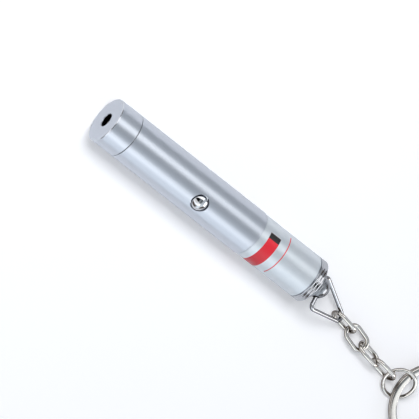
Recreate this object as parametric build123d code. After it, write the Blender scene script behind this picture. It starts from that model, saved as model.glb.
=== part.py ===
"""A key-chain laser pointer with its module, cells, tail and chain.

X runs along the barrel from the nose face to the tail, Z is up, and the origin is the middle of
the aperture in the nose face. Lengths are in millimetres, angles in degrees.
"""

import math
import os

from build123d import *

# Fits
slip_gap = 0.05
seam_gap = 0.06
seat_gap = 0.03
thread_gap = 0.06

# How finely wires and domes are drawn
wire_sides = 12
bend_steps = 10
bail_bend_steps = 6
ring_steps = 32
spring_sides = 6
spring_steps = 12
lens_dome_steps = 2
button_dome_steps = 3
post_dome_steps = 3

# Radii, from the button cells outwards
cell_radius = 5.8
cell_gap = 0.15
sleeve_spigot_wall = 0.44
socket_wall = 0.55
sleeve_step = 0.3
rim_step = 0.15
glue_gap = 0.03
label_thickness = 0.1
sleeve_bore_radius = cell_radius + cell_gap
sleeve_spigot_radius = sleeve_bore_radius + sleeve_spigot_wall
socket_radius = sleeve_spigot_radius + thread_gap
barrel_radius = socket_radius + socket_wall
sleeve_radius = barrel_radius - sleeve_step
rim_radius = barrel_radius - rim_step
label_inner_radius = sleeve_radius + glue_gap
label_radius = label_inner_radius + label_thickness

# Nose cap and window
nose_cap_length = 7.55
nose_cap_wall = 1.05
nose_chamfer = 0.25
nose_wall = 1.6
aperture_radius = 2.1
window_gap = 0.15
window_thickness = 0.8
nose_thread_radius = barrel_radius - nose_cap_wall
window_radius = nose_thread_radius - window_gap
window_front = nose_wall + slip_gap

# Barrel
barrel_length = 48.05
barrel_wall = 1.0
spigot_wall = 0.69
socket_length = 6.0
barrel_front = nose_cap_length
barrel_end = barrel_front + barrel_length
spigot_front = window_front + window_thickness + slip_gap
spigot_radius = nose_thread_radius - thread_gap
module_bore_radius = spigot_radius - spigot_wall
board_bore_radius = barrel_radius - barrel_wall
socket_start = barrel_end - socket_length

# Laser module
housing_recess = 1.5
housing_length = 13.4
housing_bore_radius = 3.5
housing_rear_radius = 2.4
module_relief = 0.6
retainer_recess = 0.2
retainer_length = 1.5
retainer_hole_radius = 2.2
retainer_notch_width = 0.8
retainer_notch_depth = 0.6
lens_gap = 0.1
lens_length = 2.2
lens_dome_radius = 2.1
lens_dome_height = 0.75
focus_length = 5.1
focus_spring_radius = 2.6
focus_spring_wire = 0.35
focus_spring_turns = 3.5
diode_flange_radius = 2.8
diode_flange_thickness = 1.2
diode_can_radius = 1.75
diode_can_height = 2.15
diode_pin_radius = 0.2
diode_pin_length = 5.5
diode_pin_spread = 1.02
diode_pin_lift = 0.75
housing_front = spigot_front + housing_recess
housing_end = housing_front + housing_length
module_seat = housing_end + module_relief
retainer_front = housing_front + retainer_recess
retainer_end = retainer_front + retainer_length
retainer_radius = housing_bore_radius - slip_gap
lens_radius = housing_bore_radius - lens_gap
lens_rim_front = retainer_end + slip_gap
lens_end = lens_rim_front + lens_length
diode_seat_front = lens_end + focus_length
diode_seat_radius = diode_flange_radius + slip_gap
diode_seat_end = diode_seat_front + diode_flange_thickness + slip_gap
diode_can_front = diode_seat_front - diode_can_height

# Spring plate, and the cradle that holds the board between it and the module
plate_recess = 0.4
plate_thickness = 0.95
carrier_recess = 0.3
carrier_wall = 0.5
spring_plate_end = socket_start - plate_recess
spring_plate_front = spring_plate_end - plate_thickness
spring_plate_radius = board_bore_radius - slip_gap
carrier_front = module_seat + carrier_recess
carrier_end = spring_plate_front - slip_gap
carrier_radius = board_bore_radius - slip_gap
carrier_bore_radius = carrier_radius - carrier_wall

# Button, with heights measured from the barrel's axis toward it
button_place_share = 0.5754
button_roll = 19.0
button_travel = 0.5
button_stem_radius = 2.3
button_hole_gap = 0.4
button_flange_lip = 0.4
button_flange_thickness = 0.8
button_flange_drop = 1.0
button_shoulder_drop = 0.5
button_dome_height = 1.0
button_position = barrel_front + button_place_share * barrel_length
button_hole_radius = button_stem_radius + button_hole_gap
button_flange_radius = button_hole_radius + button_flange_lip
button_flange_top = board_bore_radius - button_flange_drop
button_flange_base = button_flange_top - button_flange_thickness
button_dome_base = barrel_radius - button_shoulder_drop
button_dome_top = button_dome_base + button_dome_height

# Board, laid across the button's direction, and what it carries
board_end_gap = 0.3
board_side_gap = 0.15
board_thickness = 1.0
chip_setback = 8.2
chip_length = 5.0
chip_width = 4.0
chip_height = 1.5
resistor_setbacks = (3.7, 0.7)
resistor_length = 2.0
resistor_width = 1.25
resistor_height = 0.55
capacitor_gap = 1.15
capacitor_length = 3.5
capacitor_width = 2.8
capacitor_height = 1.9
switch_width = 5.0
switch_height = 2.77
switch_well_depth = 1.6
plunger_radius = 1.1
plunger_gap = 0.1
board_front = carrier_front + board_end_gap
board_end = carrier_end - board_end_gap
board_width = 2 * (carrier_bore_radius - board_side_gap)
board_top = board_thickness / 2
switch_top = board_top + seat_gap + switch_height
switch_well_floor = switch_top - switch_well_depth
switch_well_radius = plunger_radius + plunger_gap
plunger_base = switch_well_floor + button_travel + plunger_gap

# Battery bay
sleeve_length = 21.7
sleeve_recess = 0.3
plug_length = 1.2
contact_thickness = 0.35
contact_inset = 0.6
cell_count = 3
cell_height = 5.4
cell_cap_radius = 4.75
cell_cap_height = 0.4
label_margin = 0.35
bay_spring_base_radius = 4.3
bay_spring_tip_radius = 2.6
bay_spring_wire = 0.6
bay_spring_turns = 3.5
sleeve_front = socket_start + sleeve_recess
sleeve_end = barrel_end + sleeve_length
plug_front = sleeve_end - plug_length
plug_radius = sleeve_bore_radius - slip_gap
contact_radius = cell_radius - contact_inset
contact_front = plug_front - slip_gap - contact_thickness
cell_front = contact_front - slip_gap - cell_count * cell_height

# Tail cap
rim_length = 2.7
rim_round = 0.4
groove_setback = 1.45
groove_depth = 0.3
boss_radius = 4.0
boss_length = 2.0
post_radius = 3.3
post_neck = 0.6
post_hole_setback = 0.8
post_hole_gap = 0.45
post_roll = 24.0
rim_end = sleeve_end + rim_length
groove_middle = sleeve_end + groove_setback
boss_end = rim_end + boss_length
post_dome_centre = boss_end + post_neck
post_hole_position = post_dome_centre + post_hole_setback

# Bail
bail_wire = 1.2
bail_half_base = 5.6
bail_shift = 1.2
bail_sharp_height = 17.2
bail_apex_radius = 1.6
bail_corner_radius = 1.1
bail_end_gap = 0.4
bail_droop = 22.0

# Chain
floor_height = -barrel_radius
link_length = 9.3
link_width = 5.7
link_wire = 1.27
link_headings = (-9.0, -15.0, -9.0, -8.0)
link_rolls = (69.0, -4.0, -57.5, 67.0)
link_lifts = (0.0, 1.57, 0.0, 0.0)
link_plays = (1.2, 0.35, 0.48, 0.42)

# Jump ring
jump_diameter = 10.4
jump_wire = 1.15
jump_heading = 3.0
jump_tilt = 22.0
jump_lift = 2.5
jump_play = 0.64
jump_cut_angle = 1.7
jump_cut_position = -140.0

# Split ring
split_diameter = 25.0
split_band_width = 2.0
split_coil_thickness = 1.0
split_coil_gap = 0.06
split_ramp_angle = 30.0
split_ramp_steps = 6
split_tilt = -5.4
split_lift = 2.44
split_play = 0.7

link_half_length = (link_length - link_wire) / 2
link_half_width = (link_width - link_wire) / 2
jump_radius = (jump_diameter - jump_wire) / 2
split_radius = (split_diameter - split_band_width) / 2
post_hole_radius = bail_wire / 2 + post_hole_gap
across_button = Rot(button_roll, 0, 0)


def turned(outline):
    """A closed outline of (position, radius) pairs turned about the barrel's axis."""
    return revolve(make_face(Polyline(*outline, close=True)), axis=Axis.X)


def disc(front, end, radius):
    return turned([(front, 0), (end, 0), (end, radius), (front, radius)])


def tube(front, end, inner, outer):
    return turned([(front, inner), (end, inner), (end, outer), (front, outer)])


def toward_button(position, base, top, radius):
    """A cylinder standing along the button's direction."""
    standing = Pos(position, 0, (base + top) / 2) * Cylinder(radius, top - base)
    return across_button * standing


def on_board(middle, length, width, base, top):
    """A block on the board, its base and top measured toward the button."""
    block = Pos(middle, 0, (base + top) / 2) * Box(length, width, top - base)
    return across_button * block


def bend(centre, radius, start, end, steps):
    """Points round an arc, its two ends included."""
    turns = [math.radians(start + (end - start) * step / steps) for step in range(steps + 1)]
    return [
        (centre[0] + radius * math.cos(turn), centre[1] + radius * math.sin(turn))
        for turn in turns
    ]


def dome(base, top, radius, steps):
    """The outline of a dome from its rim, at the base, to its top on the axis."""
    height = top - base
    bulge = (radius**2 + height**2) / (2 * height)
    rim = math.degrees(math.asin(radius / bulge))
    return bend((top - bulge, 0), bulge, rim, 0, steps)


def wire(points, diameter, sides=wire_sides, close=False):
    """A wire along straight runs with mitred corners, as round as its sides make it."""
    path = Polyline(*points, close=close)
    section = Plane(path @ 0, z_dir=path % 0) * RegularPolygon(diameter / 2, sides)
    return sweep(section, path=path, transition=Transition.RIGHT)


def coil(start, end, base_radius, tip_radius, diameter, turns):
    """A wire wound about the barrel's axis from its base to its tip."""
    points = []
    count = round(turns * spring_steps)
    for step in range(count + 1):
        share = step / count
        radius = base_radius + (tip_radius - base_radius) * share
        turn = math.tau * turns * share
        along = start + diameter / 2 + (end - start - diameter) * share
        points.append((along, radius * math.cos(turn), radius * math.sin(turn)))
    return wire(points, diameter, spring_sides)


def nose_cap():
    rear = barrel_front - seam_gap
    return turned(
        [
            (0, aperture_radius),
            (nose_wall, aperture_radius),
            (nose_wall, nose_thread_radius),
            (rear, nose_thread_radius),
            (rear, barrel_radius),
            (nose_chamfer, barrel_radius),
            (0, barrel_radius - nose_chamfer),
        ]
    )


def protective_window():
    return disc(window_front, window_front + window_thickness, window_radius)


def main_barrel():
    shell = turned(
        [
            (spigot_front, module_bore_radius),
            (module_seat, module_bore_radius),
            (module_seat, board_bore_radius),
            (socket_start, board_bore_radius),
            (socket_start, socket_radius),
            (barrel_end, socket_radius),
            (barrel_end, barrel_radius),
            (barrel_front, barrel_radius),
            (barrel_front, spigot_radius),
            (spigot_front, spigot_radius),
        ]
    )
    return shell - toward_button(button_position, 0, 2 * barrel_radius, button_hole_radius)


def laser_housing():
    return turned(
        [
            (housing_front, housing_bore_radius),
            (diode_seat_front, housing_bore_radius),
            (diode_seat_front, diode_seat_radius),
            (diode_seat_end, diode_seat_radius),
            (diode_seat_end, housing_rear_radius),
            (housing_end, housing_rear_radius),
            (housing_end, module_bore_radius - slip_gap),
            (housing_front, module_bore_radius - slip_gap),
        ]
    )


def lens_retainer():
    ring = tube(retainer_front, retainer_end, retainer_hole_radius, retainer_radius)
    notch = Pos(retainer_front, 0, 0) * Box(
        2 * retainer_notch_depth, 2 * barrel_radius, retainer_notch_width
    )
    return ring - notch


def collimating_lens():
    top = lens_dome_height - lens_rim_front
    bulge = dome(-lens_rim_front, top, lens_dome_radius, lens_dome_steps)
    front = [(-along, radius) for along, radius in bulge]
    return turned([*front, (lens_end, 0), (lens_end, lens_radius), (lens_rim_front, lens_radius)])


def focus_spring():
    return coil(
        lens_end + slip_gap,
        diode_seat_front - slip_gap,
        focus_spring_radius,
        focus_spring_radius,
        focus_spring_wire,
        focus_spring_turns,
    )


def laser_diode():
    flange_end = diode_seat_front + diode_flange_thickness
    return turned(
        [
            (diode_can_front, 0),
            (flange_end, 0),
            (flange_end, diode_flange_radius),
            (diode_seat_front, diode_flange_radius),
            (diode_seat_front, diode_can_radius),
            (diode_can_front, diode_can_radius),
        ]
    )


def diode_pins():
    end = diode_seat_end + diode_pin_length
    pin = wire([(diode_seat_end, 0), (end, 0)], 2 * diode_pin_radius)
    places = (
        (-diode_pin_spread, diode_pin_lift),
        (diode_pin_spread, diode_pin_lift),
        (0, -diode_pin_lift),
    )
    return Compound([across_button * Pos(0, across, lift) * pin for across, lift in places])


def circuit_board():
    middle = (board_front + board_end) / 2
    return on_board(middle, board_end - board_front, board_width, -board_top, board_top)


def under_board(setback, length, width, height):
    """A block soldered under the board, its middle set back from the button toward the nose."""
    top = -board_top - seat_gap
    return on_board(button_position - setback, length, width, top - height, top)


def driver_chip():
    return under_board(chip_setback, chip_length, chip_width, chip_height)


def bias_resistors():
    return Compound(
        [
            under_board(setback, resistor_length, resistor_width, resistor_height)
            for setback in resistor_setbacks
        ]
    )


def filter_capacitor():
    base = board_top + seat_gap
    middle = button_position + (switch_width + capacitor_length) / 2 + capacitor_gap
    return on_board(middle, capacitor_length, capacitor_width, base, base + capacitor_height)


def board_carrier():
    outline = Polyline(
        (carrier_front, carrier_bore_radius),
        (carrier_end, carrier_bore_radius),
        (carrier_end, carrier_radius),
        (carrier_front, carrier_radius),
        close=True,
    )
    return across_button * revolve(make_face(outline), axis=Axis.X, revolution_arc=-180)


def switch_body():
    base = board_top + seat_gap
    body = on_board(button_position, switch_width, switch_width, base, switch_top)
    return body - toward_button(
        button_position, switch_well_floor, button_flange_base, switch_well_radius
    )


def switch_plunger():
    top = button_flange_base - slip_gap
    return toward_button(button_position, plunger_base, top, plunger_radius)


def push_button():
    button = turned(
        [
            (button_flange_base, 0),
            (button_flange_base, button_flange_radius),
            (button_flange_top, button_flange_radius),
            (button_flange_top, button_stem_radius),
            *dome(button_dome_base, button_dome_top, button_stem_radius, button_dome_steps),
        ]
    )
    return across_button * Pos(button_position, 0, 0) * Rot(0, -90, 0) * button


def spring_plate():
    return disc(spring_plate_front, spring_plate_end, spring_plate_radius)


def battery_spring():
    return coil(
        spring_plate_end + slip_gap,
        cell_front - slip_gap,
        bay_spring_base_radius,
        bay_spring_tip_radius,
        bay_spring_wire,
        bay_spring_turns,
    )


def button_cell(index):
    front = cell_front + index * cell_height
    end = front + cell_height - seat_gap
    step = front + cell_cap_height
    return turned(
        [
            (front, 0),
            (end, 0),
            (end, cell_radius),
            (step, cell_radius),
            (step, cell_cap_radius),
            (front, cell_cap_radius),
        ]
    )


def tail_contact():
    return disc(contact_front, contact_front + contact_thickness, contact_radius)


def battery_sleeve():
    shoulder = barrel_end + seam_gap
    return turned(
        [
            (sleeve_front, sleeve_bore_radius),
            (sleeve_end, sleeve_bore_radius),
            (sleeve_end, sleeve_radius),
            (shoulder, sleeve_radius),
            (shoulder, sleeve_spigot_radius),
            (sleeve_front, sleeve_spigot_radius),
        ]
    )


def foil_label():
    front = barrel_end + label_margin
    return tube(front, sleeve_end - label_margin, label_inner_radius, label_radius)


def tail_cap():
    rim_front = sleeve_end + seam_gap
    dome_top = post_dome_centre + post_radius
    body = turned(
        [
            (plug_front, 0),
            (plug_front, plug_radius),
            (rim_front, plug_radius),
            (rim_front, rim_radius),
            (groove_middle - groove_depth, rim_radius),
            (groove_middle, rim_radius - groove_depth),
            (groove_middle + groove_depth, rim_radius),
            (rim_end - rim_round, rim_radius),
            (rim_end, rim_radius - rim_round),
            (rim_end, boss_radius),
            (boss_end, boss_radius),
            (boss_end, post_radius),
            *dome(post_dome_centre, dome_top, post_radius, post_dome_steps),
        ]
    )
    hole = Pos(post_hole_position, 0, 0) * Rot(90, 0, 0) * Cylinder(
        post_hole_radius, 2 * barrel_radius
    )
    return body - Rot(-post_roll, 0, 0) * hole


def bail_place():
    return Pos(post_hole_position, 0, 0) * Rot(-post_roll, 0, 0) * Rot(0, bail_droop, 0)


def bail_slope():
    return math.atan2(bail_half_base, bail_sharp_height)


def bail_apex_height():
    """The apex wire's middle, measured from the base wire."""
    return bail_sharp_height - bail_apex_radius / math.sin(bail_slope()) + bail_apex_radius


def wire_bail():
    slope = bail_slope()
    lean = 90 - math.degrees(slope)
    corner_across = bail_half_base - bail_corner_radius * (1 + math.sin(slope)) / math.cos(slope)
    far = (bail_corner_radius, corner_across - bail_shift)
    near = (bail_corner_radius, -corner_across - bail_shift)
    apex = (bail_apex_height() - bail_apex_radius, -bail_shift)
    points = [
        (0, bail_end_gap / 2),
        *bend(far, bail_corner_radius, 180, lean, bail_bend_steps),
        *bend(apex, bail_apex_radius, lean, -lean, bend_steps),
        *bend(near, bail_corner_radius, -lean, -180, bail_bend_steps),
        (0, -bail_end_gap / 2),
    ]
    return bail_place() * wire(points, bail_wire)


def ahead(heading, distance):
    turn = math.radians(heading)
    return Vector(distance * math.cos(turn), distance * math.sin(turn), 0)


def link_centres():
    """Each link's middle, laid end to end from the bail's apex."""
    hook = (bail_place() * Pos(bail_apex_height(), -bail_shift, 0)).position
    overlap = (bail_wire + link_wire) / 2
    centres = []
    for heading, roll, lift, play in zip(link_headings, link_rolls, link_lifts, link_plays):
        middle = hook + ahead(heading, link_half_length - overlap - play)
        height = link_half_width * abs(math.sin(math.radians(roll))) + link_wire / 2 + lift
        centres.append(Vector(middle.X, middle.Y, floor_height + height))
        hook = middle + ahead(heading, link_half_length)
        overlap = link_wire
    return centres


def jump_centre():
    last = link_centres()[-1] + ahead(link_headings[-1], link_half_length)
    overlap = (link_wire + jump_wire) / 2 + jump_play
    middle = last + ahead(jump_heading, jump_radius - overlap)
    return Vector(middle.X, middle.Y, floor_height + jump_lift)


def split_centre():
    middle = jump_centre()
    return Vector(middle.X + split_radius + split_play, middle.Y, floor_height + split_lift)


def chain_link(index):
    side = link_half_length - link_half_width
    points = [
        (0, -link_half_width),
        *bend((side, 0), link_half_width, -90, 90, bend_steps),
        *bend((-side, 0), link_half_width, 90, 270, bend_steps),
    ]
    middle = link_centres()[index]
    place = Pos(*middle) * Rot(0, 0, link_headings[index]) * Rot(link_rolls[index], 0, 0)
    return place * wire(points, link_wire, close=True)


def jump_ring():
    start = jump_cut_position + jump_cut_angle / 2
    points = bend((0, 0), jump_radius, start, start + 360 - jump_cut_angle, ring_steps)
    place = Pos(*jump_centre()) * Rot(0, 0, jump_heading) * Rot(jump_tilt, 0, 0)
    return place * wire(points, jump_wire)


def split_section(turn, lift):
    """The flat wire's section at one place round the ring."""
    section = Rectangle(split_band_width, split_coil_thickness)
    return Rot(0, 0, turn) * Pos(split_radius, 0, lift) * Rot(90, 0, 0) * section


def split_ring():
    level = (split_coil_thickness + split_coil_gap) / 2
    half_ramp = split_ramp_angle / 2
    span = 360 - split_ramp_angle
    lower = revolve(split_section(half_ramp, -level), axis=Axis.Z, revolution_arc=span)
    upper = revolve(split_section(half_ramp, level), axis=Axis.Z, revolution_arc=span)
    sections = []
    for step in range(split_ramp_steps + 1):
        share = step / split_ramp_steps
        rise = share * share * (3 - 2 * share)
        turn = split_ramp_angle * share - half_ramp
        sections.append(split_section(turn, level * (2 * rise - 1)))
    ramp = loft(sections, ruled=True)
    place = Pos(*split_centre()) * Rot(split_tilt, 0, 0)
    return place * (lower + ramp + upper)


def main():
    os.makedirs("parts", exist_ok=True)
    parts = {
        "nose_cap": nose_cap(),
        "protective_window": protective_window(),
        "main_barrel": main_barrel(),
        "laser_housing": laser_housing(),
        "lens_retainer": lens_retainer(),
        "collimating_lens": collimating_lens(),
        "focus_spring": focus_spring(),
        "laser_diode": laser_diode(),
        "diode_pins": diode_pins(),
        "circuit_board": circuit_board(),
        "driver_chip": driver_chip(),
        "bias_resistors": bias_resistors(),
        "filter_capacitor": filter_capacitor(),
        "board_carrier": board_carrier(),
        "switch_body": switch_body(),
        "switch_plunger": switch_plunger(),
        "push_button": push_button(),
        "spring_plate": spring_plate(),
        "battery_spring": battery_spring(),
        "tail_contact": tail_contact(),
        "battery_sleeve": battery_sleeve(),
        "foil_label": foil_label(),
        "tail_cap": tail_cap(),
        "wire_bail": wire_bail(),
        "jump_ring": jump_ring(),
        "split_ring": split_ring(),
    }
    for index in range(cell_count):
        parts[f"button_cell_{index + 1}"] = button_cell(index)
    for index in range(len(link_headings)):
        parts[f"chain_link_{index + 1}"] = chain_link(index)
    for name, part in parts.items():
        export_step(part, f"parts/{name}.step")


if __name__ == "__main__":
    main()
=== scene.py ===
import math

import bmesh
import bpy
from mathutils import Matrix, Vector


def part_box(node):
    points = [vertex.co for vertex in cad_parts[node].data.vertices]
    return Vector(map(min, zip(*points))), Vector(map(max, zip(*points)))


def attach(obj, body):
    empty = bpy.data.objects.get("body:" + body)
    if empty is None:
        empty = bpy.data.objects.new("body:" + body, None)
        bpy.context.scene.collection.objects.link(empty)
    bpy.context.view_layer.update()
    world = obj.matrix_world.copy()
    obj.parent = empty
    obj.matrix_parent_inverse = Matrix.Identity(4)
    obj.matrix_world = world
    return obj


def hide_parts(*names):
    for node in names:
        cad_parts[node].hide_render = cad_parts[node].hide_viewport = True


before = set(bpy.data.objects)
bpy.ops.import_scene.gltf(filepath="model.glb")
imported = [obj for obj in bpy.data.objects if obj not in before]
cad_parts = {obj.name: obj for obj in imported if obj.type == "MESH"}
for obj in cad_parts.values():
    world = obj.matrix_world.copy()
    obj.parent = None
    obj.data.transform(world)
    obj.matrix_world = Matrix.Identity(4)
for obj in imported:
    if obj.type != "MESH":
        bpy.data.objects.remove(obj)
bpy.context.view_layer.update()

mm = 0.001

# in millimetres: how near two points are one, how near a turned corner lies to its ring,
# and how far from the axis a wall has to be to count as turned
reachOf = {"point": 0.002, "ring": 0.004, "wall": 0.5}


def stageDone(words):
    print("laser pointer:", words)


def shifted(along=0.0, across=0.0, up=0.0):
    return Matrix.Translation((along * mm, across * mm, up * mm))


def rotated(degrees, axis):
    return Matrix.Rotation(math.radians(degrees), 4, axis)


def radiusOf(point):
    # millimetres from the barrel's axis
    return math.hypot(point.y, point.z) / mm


def inSpace(along, radius, turn=0.0):
    # a place given along the barrel, out from its axis and round it
    angle = math.radians(turn)
    return Vector((along, -radius * math.sin(angle), radius * math.cos(angle))) * mm


def edgesOf(grown):
    return [part for part in grown if isinstance(part, bmesh.types.BMEdge)]


def vertsOf(grown):
    return [part for part in grown if isinstance(part, bmesh.types.BMVert)]


def edgesAmong(bm, verts):
    chosen = set(verts)
    return [edge for edge in bm.edges if all(vert in chosen for vert in edge.verts)]


def joinCorners(bm, corners):
    return [bm.edges.new(pair) for pair in zip(corners, corners[1:] + corners[:1])]


def mergePoints(bm):
    bmesh.ops.remove_doubles(bm, verts=bm.verts, dist=reachOf["point"] * mm)


def faceOutward(bm):
    bmesh.ops.recalc_face_normals(bm, faces=bm.faces)


def moveAll(bm, place):
    bmesh.ops.transform(bm, matrix=place, verts=bm.verts)


def drawOutline(bm, start, moves):
    # a move of two numbers is a straight line to (along, radius); one of four is an
    # arc about (along, radius) through some degrees in some steps
    here = bm.verts.new(inSpace(*start))
    for move in moves:
        if len(move) == 2:
            there = bm.verts.new(inSpace(*move))
            bm.edges.new((here, there))
        else:
            along, radius, degrees, steps = move
            arc = bmesh.ops.spin(
                bm, geom=[here], cent=inSpace(along, radius), axis=(0, 1, 0),
                angle=math.radians(degrees), steps=steps,
            )
            there = vertsOf(arc["geom_last"])[0]
        here = there


def turnRound(bm, geom, steps):
    bmesh.ops.spin(
        bm, geom=geom, cent=(0, 0, 0), axis=(1, 0, 0), angle=math.tau, steps=steps,
        use_merge=True,
    )


def windRound(bm, loop, turns, steps, rise=0.0):
    # winds a section about the barrel's axis and along it by rise in all
    spun = bmesh.ops.spin(
        bm, geom=loop, cent=(0, 0, 0), axis=(1, 0, 0), dvec=(rise * mm / steps, 0, 0),
        angle=turns * math.tau, steps=steps,
    )
    return edgesOf(spun["geom_last"])


def turnOutline(bm, steps):
    turnRound(bm, bm.verts[:] + bm.edges[:], steps)
    mergePoints(bm)
    faceOutward(bm)


def soften(bm, parts, width, segments=2, finishNumber=-1, affect="EDGES"):
    bmesh.ops.bevel(
        bm, geom=parts, offset=width * mm, offset_type="OFFSET", affect=affect,
        segments=segments, profile=0.5, material=finishNumber, clamp_overlap=True,
    )


def softenRing(bm, along, radius, width, segments=2, finishNumber=-1):
    # rounds one turned corner
    def near(point):
        return (
            abs(point.x / mm - along) < reachOf["ring"]
            and abs(radiusOf(point) - radius) < reachOf["ring"]
        )
    ring = [edge for edge in bm.edges if all(near(vert.co) for vert in edge.verts)]
    soften(bm, ring, width, segments, finishNumber)


def softenCut(bm, near, bend, width, segments):
    # rounds the sharp edges that a cut left near itself
    rim = [
        edge for edge in bm.edges
        if len(edge.link_faces) == 2 and edge.calc_face_angle() > bend
        and all(near(vert.co) for vert in edge.verts)
    ]
    soften(bm, rim, width, segments)


def startWire(bm, place, radius, sides):
    circle = bmesh.ops.create_circle(
        bm, segments=sides, radius=radius * mm, matrix=place @ rotated(90, "Y")
    )
    return edgesAmong(bm, circle["verts"])


def flatSquare(bm, width):
    grid = bmesh.ops.create_grid(bm, x_segments=1, y_segments=1, size=width / 2 * mm)
    return grid["verts"]


def startStrip(bm, place, width, thickness):
    # a flat section across the place's own X, its width along Y
    verts = flatSquare(bm, 1)
    bmesh.ops.scale(bm, vec=(width, thickness, 1), verts=verts)
    stand = place @ rotated(90, "Z") @ rotated(90, "X")
    bmesh.ops.transform(bm, matrix=stand, verts=verts)
    loop = edgesAmong(bm, verts)
    bmesh.ops.delete(bm, geom=verts[0].link_faces[:], context="FACES_ONLY")
    return loop


def runWire(bm, loop, step):
    moved = vertsOf(bmesh.ops.extrude_edge_only(bm, edges=loop)["geom"])
    bmesh.ops.translate(bm, verts=moved, vec=Vector(step) * mm)
    return edgesAmong(bm, moved)


def bendWire(bm, loop, centre, degrees, steps, rise=0.0):
    # bends about the local Z axis; rise lifts the end by that much
    spun = bmesh.ops.spin(
        bm, geom=loop, cent=Vector(centre) * mm, axis=(0, 0, 1),
        dvec=(0, 0, rise * mm / steps), angle=math.radians(degrees), steps=steps,
    )
    return edgesOf(spun["geom_last"])


def closeEnds(bm):
    ends = [edge for edge in bm.edges if edge.is_boundary]
    bmesh.ops.holes_fill(bm, edges=ends, sides=0)
    faceOutward(bm)


def storeMesh(bm, mesh, sharp=32):
    for face in bm.faces:
        face.smooth = True
    bm.to_mesh(mesh)
    bm.free()
    mesh.set_sharp_from_angle(angle=math.radians(sharp))


def plainMesh(bm, name):
    mesh = bpy.data.meshes.new(name)
    bm.to_mesh(mesh)
    bm.free()
    return mesh


def addObject(name, data):
    added = bpy.data.objects.new(name, data)
    bpy.context.scene.collection.objects.link(added)
    return added


def finishPiece(bm, name, finish, body, slot, *nodes, sharp=32):
    mesh = bpy.data.meshes.new(name)
    storeMesh(bm, mesh, sharp)
    piece = addObject(name, mesh)
    addFinishes(piece, finish)
    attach(piece, body)
    if nodes:
        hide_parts(*nodes)
    return piece


def addFinishes(piece, *names):
    for name in names:
        piece.data.materials.append(finishes[name])


def evenNormals(piece):
    # turned walls and flat ends get their true normals, so that a long wall
    # reflects cleanly up to its softened edges and round a hole
    mesh = piece.data
    mesh.update()
    shaded = [tuple(corner.vector) for corner in mesh.corner_normals]
    for face in mesh.polygons:
        corners = [mesh.vertices[index].co for index in face.vertices]
        radii = [radiusOf(corner) for corner in corners]
        alongs = [corner.x / mm for corner in corners]
        flat = max(alongs) - min(alongs) < reachOf["point"]
        turned = max(radii) - min(radii) < reachOf["ring"] and min(radii) > reachOf["wall"]
        for loop, corner in zip(face.loop_indices, corners):
            if flat:
                shaded[loop] = (math.copysign(1, face.normal.x), 0, 0)
            elif turned:
                outward = Vector((0, corner.y, corner.z)).normalized()
                shaded[loop] = tuple(outward * math.copysign(1, face.normal.dot(outward)))
    mesh.normals_split_custom_set(shaded)


def drillHole(piece, place, radius, length, steps=64):
    # cuts a round hole along the place's own Z
    bm = bmesh.new()
    bmesh.ops.create_cone(
        bm, cap_ends=True, segments=steps, radius1=radius * mm, radius2=radius * mm,
        depth=length * mm, matrix=place,
    )
    cutter = addObject("drill", plainMesh(bm, "drill"))
    cut = piece.modifiers.new("cut", "BOOLEAN")
    cut.object = cutter
    cut.solver = "EXACT"
    graph = bpy.context.evaluated_depsgraph_get()
    cutMesh = bpy.data.meshes.new_from_object(piece.evaluated_get(graph), depsgraph=graph)
    piece.modifiers.clear()
    piece.data = cutMesh
    bpy.data.objects.remove(cutter)


# a thread's ridge in section, in shares of its pitch, and how deep its foot is sunk
thread = {
    "pitch": 0.75, "rise": 0.38, "flat": 0.5, "fall": 0.88, "sunk": 0.03, "runOut": 0.9,
    "steps": 64,
}


def threadRidge(bm, start, end, root, crest):
    # a screw thread's ridge, wound from one end of the threaded part to the other
    pitch = thread["pitch"]
    foot = root - math.copysign(thread["sunk"], crest - root)
    section = [
        (0, foot), (thread["rise"], crest), (thread["flat"], crest), (thread["fall"], foot),
    ]
    corners = [bm.verts.new(inSpace(start + share * pitch, out)) for share, out in section]
    turns = (end - start) / pitch - thread["runOut"]
    steps = round(turns * thread["steps"])
    windRound(bm, joinCorners(bm, corners), turns, steps, turns * pitch)


def addNode(tree, kind, **settings):
    node = tree.nodes.new("ShaderNode" + kind)
    for setting, value in settings.items():
        setattr(node, setting, value)
    return node


def setInputs(node, values):
    for name, value in values.items():
        node.inputs[name].default_value = value


def startFinish(name):
    finish = bpy.data.materials.new(name)
    finish.use_nodes = True
    tree = finish.node_tree
    tree.nodes.clear()
    output = addNode(tree, "OutputMaterial")
    shader = addNode(tree, "BsdfPrincipled")
    tree.links.new(shader.outputs["BSDF"], output.inputs["Surface"])
    return finish, tree, shader


def placeNode(tree, kind="Object"):
    return addNode(tree, "TexCoord").outputs[kind]


def splitNode(tree, vector):
    split = addNode(tree, "SeparateXYZ")
    tree.links.new(vector, split.inputs["Vector"])
    return split.outputs


def mathNode(tree, operation, first, second):
    node = addNode(tree, "Math", operation=operation)
    for value, socket in zip((first, second), node.inputs):
        if isinstance(value, (int, float)):
            socket.default_value = value
        else:
            tree.links.new(value, socket)
    return node.outputs[0]


def multiplied(tree, first, second):
    return mathNode(tree, "MULTIPLY", first, second)


def greater(tree, first, second):
    return mathNode(tree, "MAXIMUM", first, second)


def grainNode(tree, fineness, detail=3.0):
    # noise on Object coordinates, with some features a millimetre, alike all ways or not
    mapping = addNode(tree, "Mapping")
    factors = fineness if isinstance(fineness, tuple) else (fineness,) * 3
    setInputs(mapping, {"Scale": [factor / mm for factor in factors]})
    noise = addNode(tree, "TexNoise")
    setInputs(noise, {"Scale": 1.0, "Detail": detail})
    tree.links.new(placeNode(tree), mapping.inputs["Vector"])
    tree.links.new(mapping.outputs["Vector"], noise.inputs["Vector"])
    return noise.outputs["Fac"]


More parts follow.
